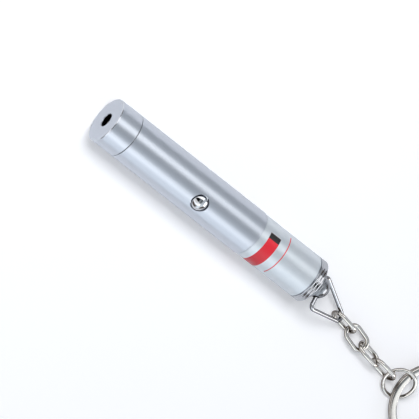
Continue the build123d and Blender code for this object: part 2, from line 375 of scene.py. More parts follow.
def spreadNode(tree, source, low, high, lowFrom=0.3, highFrom=0.7):
    spread = addNode(tree, "MapRange")
    setInputs(spread, {
        "From Min": lowFrom, "From Max": highFrom, "To Min": low, "To Max": high,
    })
    tree.links.new(source, spread.inputs["Value"])
    return spread.outputs["Result"]


def between(tree, source, low, high, soft):
    # one inside a span, nought outside it, with softly printed edges
    rise = spreadNode(tree, source, 0.0, 1.0, low - soft, low + soft)
    fall = spreadNode(tree, source, 1.0, 0.0, high - soft, high + soft)
    return multiplied(tree, rise, fall)


def rampNode(tree, source, steps):
    # grey levels at places along a value from 0 to 1
    ramp = addNode(tree, "ValToRGB")
    stops = ramp.color_ramp.elements
    while len(stops) < len(steps):
        stops.new(0.5)
    for stop, (at, level) in zip(stops, steps):
        stop.position = at
        stop.color = (level, level, level, 1)
    tree.links.new(source, ramp.inputs["Fac"])
    return ramp.outputs["Color"]


def blendNode(tree, factor, first, second):
    mix = addNode(tree, "Mix", data_type="RGBA")
    tree.links.new(factor, mix.inputs["Factor"])
    for value, socket in ((first, mix.inputs[6]), (second, mix.inputs[7])):
        if isinstance(value, (tuple, list)):
            socket.default_value = (*value, 1)
        else:
            tree.links.new(value, socket)
    return mix.outputs[2]


def dress(tree, shader, tone, roughness, height, strength, distance):
    # tone, roughness and a fine relief of some strength and depth in millimetres
    tree.links.new(tone, shader.inputs["Base Color"])
    tree.links.new(roughness, shader.inputs["Roughness"])
    bump = addNode(tree, "Bump")
    setInputs(bump, {"Strength": strength, "Distance": distance * mm})
    tree.links.new(height, bump.inputs["Height"])
    tree.links.new(bump.outputs["Normal"], shader.inputs["Normal"])


def turnedMetal(
    name, light, dark, smooth, rough, bump=0.05, lines=(12, 0.2, 0.2), depth=0.004
):
    # metal with fine turning lines round the axis and a slow change of tone
    finish, tree, shader = startFinish(name)
    setInputs(shader, {"Metallic": 1.0})
    turning = grainNode(tree, lines)
    cloud = grainNode(tree, (0.22, 0.3, 0.3))
    tone = blendNode(tree, cloud, dark, light)
    both = multiplied(tree, mathNode(tree, "ADD", turning, cloud), 0.5)
    dress(tree, shader, tone, spreadNode(tree, both, smooth, rough), turning, bump, depth)
    return finish


def wireMetal(name, light, dark, smooth, rough, paintedUnderShade=None, shadeFade=(0.15, 0.78)):
    # drawn and plated wire, with tiny dents and a slightly uneven shine; the side turned to
    # the ground may be darkened with painted shade, which fades out as the surface turns up
    finish, tree, shader = startFinish(name)
    setInputs(shader, {"Metallic": 1.0})
    cloud = grainNode(tree, 0.9, 4.0)
    fine = grainNode(tree, 6.0, 2.0)
    tone = blendNode(tree, cloud, dark, light)
    if paintedUnderShade:
        # painted shade: darker where the surface faces down, lighter toward the top
        facing = splitNode(tree, placeNode(tree, "Normal"))
        bright = spreadNode(tree, facing["Z"], 0.0, 1.0, *shadeFade)
        tone = blendNode(tree, bright, paintedUnderShade, tone)
    dress(tree, shader, tone, spreadNode(tree, fine, smooth, rough), cloud, 0.12, 0.03)
    return finish


def glassFinish(name, tint, smooth, rough):
    # clear glass with a faint unevenness of its polish
    finish, tree, shader = startFinish(name)
    setInputs(shader, {"Transmission Weight": 1.0, "IOR": 1.5})
    cloud = grainNode(tree, 0.8, 2.0)
    paler = tuple(0.5 + 0.5 * part for part in tint)
    tree.links.new(blendNode(tree, cloud, tint, paler), shader.inputs["Base Color"])
    tree.links.new(spreadNode(tree, cloud, smooth, rough), shader.inputs["Roughness"])
    return finish


def mouldedFinish(name, light, dark, smooth, rough, grain=8.0, bump=0.1):
    # moulded plastic or epoxy, with a fine surface grain
    finish, tree, shader = startFinish(name)
    tone = blendNode(tree, grainNode(tree, 0.7), dark, light)
    fine = grainNode(tree, grain)
    dress(tree, shader, tone, spreadNode(tree, fine, smooth, rough), fine, bump, 0.02)
    return finish


def endCapFinish(name, light, dark, spans):
    # a chip part with tinned ends, at the given spans along the barrel
    finish, tree, shader = startFinish(name)
    along = multiplied(tree, splitNode(tree, placeNode(tree))["X"], 1 / mm)
    tinned = between(tree, along, *spans[0], 0.02)
    for span in spans[1:]:
        tinned = greater(tree, tinned, between(tree, along, *span, 0.02))
    cloud = grainNode(tree, 2.0, 4.0)
    body = blendNode(tree, cloud, dark, light)
    tin = blendNode(tree, cloud, (0.66, 0.66, 0.68), (0.8, 0.8, 0.82))
    tone = blendNode(tree, tinned, body, tin)
    tree.links.new(tinned, shader.inputs["Metallic"])
    dress(tree, shader, tone, spreadNode(tree, cloud, 0.25, 0.45), cloud, 0.15, 0.02)
    return finish


label = {
    "filmLight": (0.85, 0.89, 0.93), "filmDark": (0.76, 0.82, 0.87),
    "red": (0.8, 0.012, 0.03), "darkRed": (0.009, 0.007, 0.008),
    # spans in millimetres from the nose, and turns in degrees from the top, toward the
    # right of the nose
    "band": (58.3, 62.1), "bandStart": 34.0, "bandSweep": 150.0, "darkSweep": 15.0,
    "line": (64.95, 65.25), "lineStart": 60.0, "lineSweep": 124.0,
    "softAlong": 0.04, "softTurn": 0.35,
}


def labelFinish(size):
    # metallised film, with a printed band whose end is dark, and a thin line
    finish, tree, shader = startFinish("foilFilm")
    parts = splitNode(tree, placeNode(tree))
    angle = mathNode(tree, "ARCTAN2", parts["Y"], parts["Z"])
    along = multiplied(tree, parts["X"], 1 / mm)
    turn = multiplied(tree, angle, 180 / math.pi)

    def printed(span, start, sweep):
        wide = between(tree, along, *span, size["softAlong"])
        return multiplied(
            tree, wide, between(tree, turn, start - sweep, start, size["softTurn"])
        )

    cloud = grainNode(tree, 0.5)
    film = blendNode(tree, cloud, size["filmDark"], size["filmLight"])
    band = printed(size["band"], size["bandStart"], size["bandSweep"])
    darkEnd = printed(size["band"], size["bandStart"], size["darkSweep"])
    line = printed(size["line"], size["lineStart"], size["lineSweep"])
    ink = blendNode(tree, darkEnd, size["red"], size["darkRed"])
    tone = blendNode(tree, line, blendNode(tree, band, film, ink), size["red"])
    inked = greater(tree, band, line)
    tree.links.new(spreadNode(tree, inked, 0.75, 0.0, 0.0, 1.0), shader.inputs["Metallic"])
    rough = spreadNode(tree, grainNode(tree, 3.0), 0.3, 0.42)
    dress(tree, shader, tone, rough, grainNode(tree, 0.6, 2.0), 0.12, 0.05)
    setInputs(shader, {"Coat Weight": 0.3, "Coat Roughness": 0.15})
    return finish


track = {"roll": 19.0, "along": 0.95, "across": 1.3, "width": 0.32, "soft": 0.05}


def boardFinish(size):
    # green solder mask over raised copper tracks that run along and across the board
    finish, tree, shader = startFinish("boardMask")
    level = addNode(tree, "Mapping")
    turn = (math.radians(-size["roll"]), 0, 0)
    setInputs(level, {"Rotation": turn, "Scale": (1 / mm,) * 3})
    tree.links.new(placeNode(tree), level.inputs["Vector"])
    parts = splitNode(tree, level.outputs["Vector"])

    def tracks(source, spacing):
        fold = mathNode(tree, "PINGPONG", source, spacing / 2)
        half = size["width"] / 2
        return spreadNode(tree, fold, 1.0, 0.0, half, half + size["soft"])

    patch = grainNode(tree, 0.28, 0.0)
    lengthwise = spreadNode(tree, patch, 0.0, 1.0, 0.47, 0.48)
    crosswise = spreadNode(tree, patch, 1.0, 0.0, 0.5, 0.51)
    copper = greater(
        tree, multiplied(tree, tracks(parts["Y"], size["along"]), lengthwise),
        multiplied(tree, tracks(parts["X"], size["across"]), crosswise),
    )
    cloud = grainNode(tree, 0.6)
    mask = blendNode(tree, cloud, (0.008, 0.11, 0.035), (0.012, 0.15, 0.05))
    tone = blendNode(tree, copper, mask, (0.03, 0.3, 0.1))
    dress(tree, shader, tone, spreadNode(tree, cloud, 0.22, 0.34), copper, 0.5, 0.04)
    return finish


# light tone, dark tone, least and most roughness; then, where they aren't the usual, the
# strength, the fineness and the depth of the turning lines
turnedMetals = {
    "satinAluminium": ((0.73, 0.765, 0.83), (0.7, 0.735, 0.8), 0.27, 0.33, 0.02),
    "chromePlate": ((0.8, 0.81, 0.83), (0.72, 0.73, 0.75), 0.04, 0.09, 0.02),
    "cutEdge": ((0.8, 0.82, 0.86), (0.74, 0.77, 0.82), 0.08, 0.14, 0.02),
    # darker metal for the softened edges at the nose cap's seam: painted shade in the seam
    "seamShade": ((0.66, 0.69, 0.74), (0.58, 0.61, 0.66), 0.3, 0.45),
    "rimPlate": ((0.64, 0.65, 0.68), (0.55, 0.56, 0.59), 0.05, 0.1, 0.02),
    # a darker copy of the tail cap's chrome for its boss and post: painted shade
    "postSteel": ((0.4, 0.41, 0.43), (0.31, 0.32, 0.34), 0.14, 0.22, 0.03),
    # near black for the walls of holes: painted shade
    "blackBore": ((0.012, 0.011, 0.012), (0.006, 0.005, 0.006), 0.35, 0.5),
    "brass": ((0.8, 0.62, 0.32), (0.66, 0.49, 0.23), 0.2, 0.34),
    "contactBrass": ((0.84, 0.68, 0.4), (0.72, 0.55, 0.28), 0.22, 0.38, 0.05, (3, 3, 3)),
    "goldPlate": ((0.96, 0.75, 0.36), (0.86, 0.64, 0.27), 0.12, 0.22),
    "cellSteel": ((0.74, 0.74, 0.73), (0.62, 0.62, 0.62), 0.16, 0.3, 0.04, (0.5, 5, 5)),
    "tinPlate": ((0.78, 0.78, 0.79), (0.66, 0.66, 0.68), 0.22, 0.36, 0.06, (4, 4, 4)),
    "solder": ((0.72, 0.72, 0.74), (0.56, 0.56, 0.59), 0.16, 0.34, 0.2, (2, 2, 2), 0.01),
}
# as above; then the colour of the painted shade on the downward side, and where it fades out
wireMetals = {
    "nickelWire": ((0.92, 0.89, 0.85), (0.8, 0.77, 0.72), 0.04, 0.09, (0.24, 0.2, 0.17)),
    "steelWire": (
        (0.78, 0.79, 0.81), (0.62, 0.63, 0.66), 0.04, 0.09, (0.08, 0.08, 0.09), (0.42, 0.96)
    ),
    "springSteel": ((0.62, 0.62, 0.62), (0.5, 0.5, 0.5), 0.2, 0.35),
}
# as above; then the grain's fineness and strength
mouldings = {
    "sealRing": ((0.03, 0.05, 0.04), (0.015, 0.025, 0.02), 0.4, 0.55),
    "whitePlastic": ((0.86, 0.86, 0.83), (0.8, 0.79, 0.75), 0.38, 0.5, 5.0, 0.05),
    "blackPackage": ((0.035, 0.035, 0.038), (0.02, 0.02, 0.022), 0.48, 0.66, 10.0, 0.2),
}
# tint, least and most roughness
glasses = {
    "windowGlass": ((0.3, 0.28, 0.32), 0.0, 0.04),
    "lensGlass": ((0.86, 0.92, 0.94), 0.0, 0.03),
}
# light tone, dark tone and the tinned spans
endCapped = {
    "resistorBody": (
        (0.03, 0.03, 0.032), (0.018, 0.018, 0.02),
        ((30.45, 30.85), (32.15, 32.55), (33.45, 33.85), (35.15, 35.55)),
    ),
    "capacitorBody": (
        (0.46, 0.33, 0.21), (0.36, 0.25, 0.15), ((38.8, 39.4), (41.8, 42.4))
    ),
}
finishes = {"foilFilm": labelFinish(label), "boardMask": boardFinish(track)}
for mixFinish, table in (
    (turnedMetal, turnedMetals), (wireMetal, wireMetals), (mouldedFinish, mouldings),
    (glassFinish, glasses), (endCapFinish, endCapped),
):
    for name, values in table.items():
        finishes[name] = mixFinish(name, *values)
stageDone("finishes are mixed")


noseCap = {
    "length": 7.43, "radius": 7.0, "aperture": 2.1, "wall": 1.6, "threadCrest": 5.95,
    "threadRoot": 6.2, "threadFrom": 2.9, "threadInset": 0.1, "edge": 0.25,
    "apertureEdge": 0.3, "seamEdge": 0.11, "mouthEdge": 0.12, "steps": 160,
}


def makeNoseCap(size):
    rear, reach, inner = size["length"], size["radius"], size["aperture"]
    threadFrom, root, crest = size["threadFrom"], size["threadRoot"], size["threadCrest"]
    bm = bmesh.new()
    drawOutline(bm, (0, inner), [
        (size["wall"], inner),
        (size["wall"], crest),
        (threadFrom, crest),
        (threadFrom, root),
        (rear, root),
        (rear, reach),
        (0, reach),
        (0, inner),
    ])
    turnOutline(bm, size["steps"])
    softenRing(bm, 0, reach, size["edge"], 3, 1)
    softenRing(bm, 0, inner, size["apertureEdge"])
    # the seam's softened edge is darker: painted shade
    softenRing(bm, rear, reach, size["seamEdge"], 2, 3)
    softenRing(bm, rear, root, size["mouthEdge"], 1)
    threadRidge(bm, threadFrom, rear - size["threadInset"], root, crest)
    closeEnds(bm)
    cap = finishPiece(
        bm, "noseCap", "satinAluminium", "nose_cap", "satin_aluminium", "nose_cap"
    )
    addFinishes(cap, "cutEdge", "blackBore", "seamShade")
    # the aperture's bore gets near black: painted shade in the hole
    for face in cap.data.polygons:
        middle = face.center
        if radiusOf(middle) < inner + 0.02 and middle.x / mm < size["wall"]:
            face.material_index = 2
    evenNormals(cap)


makeNoseCap(noseCap)


barrel = {
    "front": 7.55, "end": 55.6, "radius": 7.0, "spigotFront": 2.5,
    "spigotCrest": 5.89, "spigotRoot": 5.64, "moduleBore": 5.2, "moduleSeat": 18.0,
    "boardBore": 6.0, "socketStart": 49.6, "socketCrest": 6.45, "socketRoot": 6.65,
    "mouth": 0.2, "edge": 0.1, "seamEdge": 0.11, "spigotEdge": 0.15,
    "spigotThread": (2.8, 7.05), "socketThread": (49.8, 55.3),
    "hole": 2.7, "holeEdge": 0.18, "holeBend": 0.8, "holeMargin": 1.4, "steps": 160,
}
button = {
    "position": 35.198, "roll": 19.0, "flangeBase": 4.2, "flangeTop": 5.0, "flange": 3.1,
    "stem": 2.3, "domeBase": 6.55, "domeTop": 7.5, "domeEdge": 0.28, "edge": 0.1,
    "slip": (0.16, -0.14), "steps": 96,
}
buttonPlace = rotated(button["roll"], "X") @ shifted(button["position"])


def makeBarrel(size, press):
    outer, end = size["radius"], size["end"]
    spread = size["holeMargin"] * size["hole"]
    near, far = press["position"] - spread, press["position"] + spread
    bm = bmesh.new()
    drawOutline(bm, (size["spigotFront"], size["moduleBore"]), [
        (size["moduleSeat"], size["moduleBore"]),
        (size["moduleSeat"], size["boardBore"]),
        (near, size["boardBore"]),
        (far, size["boardBore"]),
        (size["socketStart"], size["boardBore"]),
        (size["socketStart"], size["socketRoot"]),
        (end - 2 * size["mouth"], size["socketRoot"]),
        (end - size["mouth"], size["socketCrest"]),
        (end, size["socketCrest"]),
        (end, outer),
        (far, outer),
        (near, outer),
        (size["front"], outer),
        (size["front"], size["spigotRoot"]),
        (size["spigotFront"], size["spigotRoot"]),
        (size["spigotFront"], size["moduleBore"]),
    ])
    turnOutline(bm, size["steps"])
    softenRing(bm, end, outer, size["edge"])
    # the seam's softened edge is darker: painted shade
    softenRing(bm, size["front"], outer, size["seamEdge"], 2, 1)
    softenRing(bm, size["spigotFront"], size["spigotRoot"], size["spigotEdge"], 1)
    made = finishPiece(
        bm, "mainBarrel", "satinAluminium", "barrel", "satin_aluminium", "main_barrel"
    )
    addFinishes(made, "seamShade")
    drillHole(made, buttonPlace @ shifted(up=1.5 * outer), size["hole"], 3 * outer)
    bm = bmesh.new()
    bm.from_mesh(made.data)
    middle = buttonPlace @ Vector((0, 0, outer * mm))

    def atHole(point):
        inReach = (point - middle).length < 1.2 * size["hole"] * mm
        return inReach and radiusOf(point) > outer - 0.05

    softenCut(bm, atHole, size["holeBend"], size["holeEdge"], 2)
    # the threads come after the cut, which might lose a ridge
    threadRidge(bm, *size["spigotThread"], size["spigotRoot"], size["spigotCrest"])
    threadRidge(bm, *size["socketThread"], size["socketRoot"], size["socketCrest"])
    closeEnds(bm)
    storeMesh(bm, made.data)
    evenNormals(made)


makeBarrel(barrel, button)


def makeButton(size):
    height = size["domeTop"] - size["domeBase"]
    bulge = (size["stem"] ** 2 + height ** 2) / (2 * height)
    opening = math.degrees(math.asin(size["stem"] / bulge))
    bm = bmesh.new()
    drawOutline(bm, (size["flangeBase"], 0), [
        (size["flangeBase"], size["flange"]),
        (size["flangeTop"], size["flange"]),
        (size["flangeTop"], size["stem"]),
        (size["domeBase"], size["stem"]),
        (size["domeTop"] - bulge, 0, opening, 20),
    ])
    turnOutline(bm, size["steps"])
    softenRing(bm, size["domeBase"], size["stem"], size["domeEdge"], 4)
    softenRing(bm, size["flangeTop"], size["flange"], size["edge"])
    softenRing(bm, size["flangeBase"], size["flange"], size["edge"])
    mergePoints(bm)
    moveAll(bm, buttonPlace @ shifted(*size["slip"]) @ rotated(-90, "Y"))
    finishPiece(bm, "pushButton", "chromePlate", "button", "chrome_plate", "push_button")


makeButton(button)
stageDone("nose cap, barrel and button are turned")


sleeve = {
    "front": 49.9, "shoulder": 55.66, "end": 77.3, "radius": 6.7, "bore": 5.95,
    "crest": 6.39, "root": 6.19, "thread": (50.1, 55.16), "edge": 0.1, "steps": 160,
}


def makeSleeve(size):
    bm = bmesh.new()
    drawOutline(bm, (size["front"], size["bore"]), [
        (size["end"], size["bore"]),
        (size["end"], size["radius"]),
        (size["shoulder"], size["radius"]),
        (size["shoulder"], size["root"]),
        (size["front"], size["root"]),
        (size["front"], size["bore"]),
    ])
    turnOutline(bm, size["steps"])
    softenRing(bm, size["shoulder"], size["radius"], size["edge"])
    softenRing(bm, size["end"], size["radius"], size["edge"])
    threadRidge(bm, *size["thread"], size["root"], size["crest"])
    closeEnds(bm)
    evenNormals(finishPiece(
        bm, "batterySleeve", "satinAluminium", "battery_sleeve", "satin_aluminium",
        "battery_sleeve",
    ))


makeSleeve(sleeve)

# wrapped from below, where its two ends nearly meet, some degrees apart
wrap = {"front": 55.95, "end": 76.95, "inner": 6.73, "outer": 6.83, "apart": 1.4, "steps": 200}


def makeLabel(size):
    bm = bmesh.new()
    start = 180 + size["apart"] / 2
    corners = [
        bm.verts.new(inSpace(along, radius, start))
        for along, radius in (
            (size["front"], size["inner"]), (size["end"], size["inner"]),
            (size["end"], size["outer"]), (size["front"], size["outer"]),
        )
    ]
    windRound(bm, joinCorners(bm, corners), 1 - size["apart"] / 360, size["steps"])
    closeEnds(bm)
    evenNormals(
        finishPiece(bm, "foilLabel", "foilFilm", "battery_sleeve", "foil", "foil_label")
    )


makeLabel(wrap)


tail = {
    "plugFront": 76.1, "plug": 5.9, "rimFront": 77.36, "rimEnd": 80.0, "rim": 6.85,
    "rimEdge": 0.12, "round": 0.4, "grooves": (78.2, 79.1), "grooveDepth": 0.26,
    "grooveEdge": 0.16, "boss": 4.0, "bossEnd": 82.0, "bossEdge": 0.25,
    "post": 3.3, "domeCentre": 82.6, "hole": 1.05, "holeEdge": 0.15, "holeAt": 83.4,
    "holeBend": 0.5, "roll": 24.0, "steps": 160,
}


def makeTailCap(size):
    rim, deep, hole = size["rim"], size["grooveDepth"], size["hole"]
    moves = [
        (size["plugFront"], size["plug"]),
        (size["rimFront"], size["plug"]),
        (size["rimFront"], rim),
    ]
    for groove in size["grooves"]:
        moves += [(groove - deep, rim), (groove, rim - deep), (groove + deep, rim)]
    bm = bmesh.new()
    drawOutline(bm, (size["plugFront"], 0), moves + [
        (size["rimEnd"] - size["round"], rim),
        (size["rimEnd"] - size["round"], rim - size["round"], 90, 5),
        (size["rimEnd"], size["boss"]),
        (size["bossEnd"], size["boss"]),
        (size["bossEnd"], size["post"]),
        (size["domeCentre"], size["post"]),
        (size["domeCentre"], 0, 90, 20),
    ])
    turnOutline(bm, size["steps"])
    softenRing(bm, size["rimFront"], rim, size["rimEdge"])
    for groove in size["grooves"]:
        for along in (groove - deep, groove + deep):
            softenRing(bm, along, rim, size["grooveEdge"], 3)
    softenRing(bm, size["bossEnd"], size["boss"], size["bossEdge"], 3)
    made = finishPiece(
        bm, "tailCap", "rimPlate", "battery_sleeve", "chrome_plate", "tail_cap"
    )
    way = shifted(size["holeAt"]) @ rotated(90 - size["roll"], "X")
    drillHole(made, way, hole, 2.4 * rim, 48)
    bm = bmesh.new()
    bm.from_mesh(made.data)
    axis = way.col[2].xyz

    def fromWay(point):
        # millimetres from the cross hole's own axis
        off = point - way.translation
        return (off - off.dot(axis) * axis).length / mm

    def atHole(point):
        return abs(fromWay(point) - hole) < 0.02

    softenCut(bm, atHole, size["holeBend"], size["holeEdge"], 3)
    for face in bm.faces:
        middle = face.calc_center_median()
        # the cross hole's wall gets near black: painted shade in the hole
        if fromWay(middle) < hole + 0.01:
            face.material_index = 2
        # the boss and post get a darker copy of the chrome: painted shade
        elif middle.x / mm > size["rimEnd"] + 0.02:
            face.material_index = 1
    storeMesh(bm, made.data)
    addFinishes(made, "postSteel", "blackBore")
    evenNormals(made)


makeTailCap(tail)
stageDone("sleeve, label and tail cap are turned")


# a bent wire through the hole in the tail cap's post
bail = {
    "wire": 1.2, "halfBase": 5.6, "shift": 1.2, "sharpHeight": 17.2, "apexBend": 1.6,
    "cornerBend": 1.1, "endGap": 0.4, "droop": 22.0, "sides": 24,
}


def makeBail(size):
    slope = math.atan2(size["halfBase"], size["sharpHeight"])
    lean, upright = math.sin(slope), math.cos(slope)
    corner, apex, shift = size["cornerBend"], size["apexBend"], size["shift"]
    gap = size["endGap"] / 2
    across = size["halfBase"] - corner * (1 + lean) / upright
    apexAt = size["sharpHeight"] - apex / lean
    legAlong = apexAt + (apex - corner) * lean - corner
    legAcross = across + (corner - apex) * upright
    bend, apexBend = 90 + math.degrees(slope), 180 - 2 * math.degrees(slope)
    bm = bmesh.new()
    start = shifted(across=gap) @ rotated(90, "Z")
    loop = startWire(bm, start, size["wire"] / 2, size["sides"])
    loop = runWire(bm, loop, (0, across - shift - gap, 0))
    loop = bendWire(bm, loop, (corner, across - shift, 0), -bend, 12)
    loop = runWire(bm, loop, (legAlong, -legAcross, 0))
    loop = bendWire(bm, loop, (apexAt, -shift, 0), -apexBend, 20)
    loop = runWire(bm, loop, (-legAlong, -legAcross, 0))
    loop = bendWire(bm, loop, (corner, -across - shift, 0), -bend, 12)
    runWire(bm, loop, (0, across + shift - gap, 0))
    closeEnds(bm)
    place = shifted(tail["holeAt"]) @ rotated(-tail["roll"], "X")
    moveAll(bm, place @ rotated(size["droop"], "Y"))
    finishPiece(bm, "wireBail", "steelWire", "bail", "nickel_wire", "wire_bail")


makeBail(bail)


# headings about the vertical and rolls about a link's own length, in degrees
links = {
    "length": 9.3, "width": 5.7, "wire": 1.27, "joint": 0.04, "sides": 24,
    "headings": (-9.0, -15.0, -9.0, -8.0), "rolls": (69.0, -4.0, -57.5, 67.0),
}


def makeLink(number, heading, roll, size):
    node = f"chain_link_{number}"
    bend = (size["width"] - size["wire"]) / 2
    side = (size["length"] - size["wire"]) / 2 - bend
    joint = size["joint"] / 2
    bm = bmesh.new()
    loop = startWire(bm, shifted(joint, -bend), size["wire"] / 2, size["sides"])
    loop = runWire(bm, loop, (side - joint, 0, 0))
    loop = bendWire(bm, loop, (side, 0, 0), 180, 20)
    loop = runWire(bm, loop, (-2 * side, 0, 0))
    loop = bendWire(bm, loop, (-side, 0, 0), 180, 20)
    runWire(bm, loop, (side - joint, 0, 0))
    closeEnds(bm)
    low, high = (Vector(corner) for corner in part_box(node))
    middle = Matrix.Translation((low + high) / 2)
    moveAll(bm, middle @ rotated(heading, "Z") @ rotated(roll, "X"))
    finishPiece(bm, f"chainLink{number}", "nickelWire", f"link_{number}", "nickel_wire", node)


for number, angles in enumerate(zip(links["headings"], links["rolls"]), 1):
    makeLink(number, *angles, links)


jumpRing = {
    "diameter": 10.4, "wire": 1.15, "centre": (123.01, -7.43, -4.5), "heading": 3.0,
    "tilt": 22.0, "cut": 1.7, "cutAt": -140.0, "sides": 24,
}


def makeJumpRing(size):
    bend = (size["diameter"] - size["wire"]) / 2
    opening = size["cutAt"] + size["cut"] / 2
    bm = bmesh.new()
    start = rotated(opening, "Z") @ shifted(bend) @ rotated(90, "Z")
    loop = startWire(bm, start, size["wire"] / 2, size["sides"])
    bendWire(bm, loop, (0, 0, 0), 360 - size["cut"], 72)
    closeEnds(bm)
    place = shifted(*size["centre"]) @ rotated(size["heading"], "Z")
    moveAll(bm, place @ rotated(size["tilt"], "X"))
    finishPiece(bm, "jumpRing", "nickelWire", "jump_ring_body", "nickel_wire", "jump_ring")


makeJumpRing(jumpRing)


# a flat wire wound twice
splitRing = {
    "diameter": 25.0, "band": 2.0, "coil": 1.0, "gap": 0.06, "edge": 0.3, "steps": 110,
    "ramp": 30.0, "rampSteps": 12, "centre": (135.21, -7.43, -4.56), "tilt": -5.4,
}


def makeSplitRing(size):
    bend = (size["diameter"] - size["band"]) / 2
    level = (size["coil"] + size["gap"]) / 2
    ramp, steps = size["ramp"], size["rampSteps"]
    bm = bmesh.new()
    section = flatSquare(bm, 1)
    bmesh.ops.scale(bm, vec=(size["band"], size["coil"], 1), verts=section)
    soften(bm, bm.verts[:], size["edge"], 4, affect="VERTICES")
    moveAll(bm, rotated(ramp / 2, "Z") @ shifted(bend, 0, -level) @ rotated(90, "X"))
    bmesh.ops.delete(bm, geom=bm.faces[:], context="FACES_ONLY")
    loop = bendWire(bm, bm.edges[:], (0, 0, 0), 360 - ramp, size["steps"])
    before = 0.0
    for step in range(1, steps + 1):
        # rises slowly at both ends of the ramp
        share = step / steps
        risen = 2 * level * share * share * (3 - 2 * share)
        loop = bendWire(bm, loop, (0, 0, 0), ramp / steps, 1, risen - before)
        before = risen
    bendWire(bm, loop, (0, 0, 0), 360 - ramp, size["steps"])
    closeEnds(bm)
    moveAll(bm, shifted(*size["centre"]) @ rotated(size["tilt"], "X"))
    finishPiece(bm, "splitRing", "nickelWire", "key_ring", "nickel_wire", "split_ring")


makeSplitRing(splitRing)
stageDone("bail, chain and rings are bent")


# round wire, wound with closed ends
springs = {
    "focusSpring": {
        "node": "focus_spring", "front": 8.0, "end": 13.0, "base": 2.6, "tip": 2.6,
        "wire": 0.35, "turns": 3.0, "closed": 0.75, "sides": 16, "steps": 40,
    },
    "batterySpring": {
        "node": "battery_spring", "front": 49.25, "end": 59.4, "base": 4.3, "tip": 2.6,
        "wire": 0.6, "turns": 3.0, "closed": 0.8, "sides": 16, "steps": 40,
    },
}


def makeSpring(name, size):
    wire, length = size["wire"], size["end"] - size["front"]
    laid = 1.02 * wire * size["closed"]  # how far each closed end rises, coil on coil
    bm = bmesh.new()
    start = shifted(size["front"] + wire / 2, 0, size["base"]) @ rotated(90, "Z")
    loop = startWire(bm, start, wire / 2, size["sides"])
    for turns, rise in (
        (size["closed"], laid), (size["turns"], length - wire - 2 * laid),
        (size["closed"], laid),
    ):
        loop = windRound(bm, loop, -turns, round(size["steps"] * turns), rise)
    for vert in bm.verts:
        out = Vector((0, vert.co.y, vert.co.z)).normalized()
        share = (vert.co.x / mm - size["front"]) / length
        vert.co += out * share * (size["tip"] - size["base"]) * mm
    closeEnds(bm)
    finishPiece(bm, name, "springSteel", "barrel", "spring_steel", size["node"])


for name, size in springs.items():
    makeSpring(name, size)


# each cell has a crimped can, a sealing ring and a cap
cells = {
    "count": 3, "front": 59.45, "pitch": 5.4, "height": 5.37, "radius": 5.8, "cap": 4.75,
    "seal": 5.05, "lip": 0.4, "sealDepth": 0.52, "stamp": 4.9, "stampDepth": 0.06,
    "capEdge": 0.22, "lipEdge": 0.35, "sealEdge": 0.06, "endEdge": 0.3, "steps": 128,
}


def makeCell(number, size):
    front = size["front"] + number * size["pitch"]
    end = front + size["height"]
    lip, seal = front + size["lip"], front + size["sealDepth"]
    bm = bmesh.new()
    drawOutline(bm, (front, 0), [
        (front, size["cap"]),
        (seal, size["cap"]),
        (seal, size["seal"]),
        (lip, size["seal"]),
        (lip, size["radius"]),
        (end, size["radius"]),
        (end, size["stamp"]),
        (end - size["stampDepth"], size["stamp"] - 0.1),
        (end - size["stampDepth"], 0),
    ])
    turnOutline(bm, size["steps"])
    softenRing(bm, front, size["cap"], size["capEdge"], 3)
    softenRing(bm, lip, size["radius"], size["lipEdge"], 4)
    softenRing(bm, lip, size["seal"], size["sealEdge"], 1)
    softenRing(bm, end, size["radius"], size["endEdge"], 4)
    cell = finishPiece(
        bm, f"buttonCell{number + 1}", "cellSteel", "cell_pack", "cell_steel",
        f"button_cell_{number + 1}",
    )
    addFinishes(cell, "sealRing")
    for face in cell.data.polygons:
        middle = face.center
        inRing = size["cap"] - 0.02 < radiusOf(middle) < size["seal"] + 0.02
        if inRing and lip + 0.03 < middle.x / mm < seal + 0.01:
            face.material_index = 1
    evenNormals(cell)


for number in range(cells["count"]):
    makeCell(number, cells)
stageDone("springs and cells are made")


# bent leads leave their part at a height and are soldered at a level of the board
leaded = (
    {"at": 26.998, "halfWidth": 2.0, "height": -1.15, "level": -0.5, "legs": 4,
     "pitch": 1.27, "width": 0.42, "reach": 0.5, "jointOut": 0.7, "melt": (0.85, 0.27)},
    {"at": 35.198, "halfWidth": 2.5, "height": 1.3, "level": 0.5, "legs": 2,
     "pitch": 3.4, "width": 0.7, "reach": 0.6, "jointOut": 0.75, "melt": (1.1, 0.34)},
)
lead = {"thickness": 0.16, "straight": 0.3, "slope": 0.12, "lift": 0.1}
# middle, from the middle to a joint, joints across, level, a joint's length and radius
endSoldered = (
    (31.498, 1.08, (0.0,), -0.5, (1.2, 0.3)),
    (34.498, 1.08, (0.0,), -0.5, (1.2, 0.3)),
    (40.598, 1.85, (-0.7, 0.7), 0.5, (1.5, 0.42)),
)
pins = {
    "joint": 19.3, "places": ((1.02, 0.75), (-1.02, 0.75), (0.0, -0.75)), "melt": (1.5, 0.42)
}
# a joint's outline, in shares of half its length and of its radius
hump = ((-1, 0), (-0.8, 0.35), (-0.45, 0.8), (0, 1), (0.45, 0.8), (0.8, 0.35), (1, 0))
cover = {"width": 4.9, "corner": 0.5, "base": 3.31, "thickness": 0.12, "hole": 1.35}
boardPlace = rotated(button["roll"], "X")


def legPlaces():
    for side in (-1, 1):
        for part in leaded:
            for leg in range(part["legs"]):
                yield part, part["at"] + (leg - (part["legs"] - 1) / 2) * part["pitch"], side


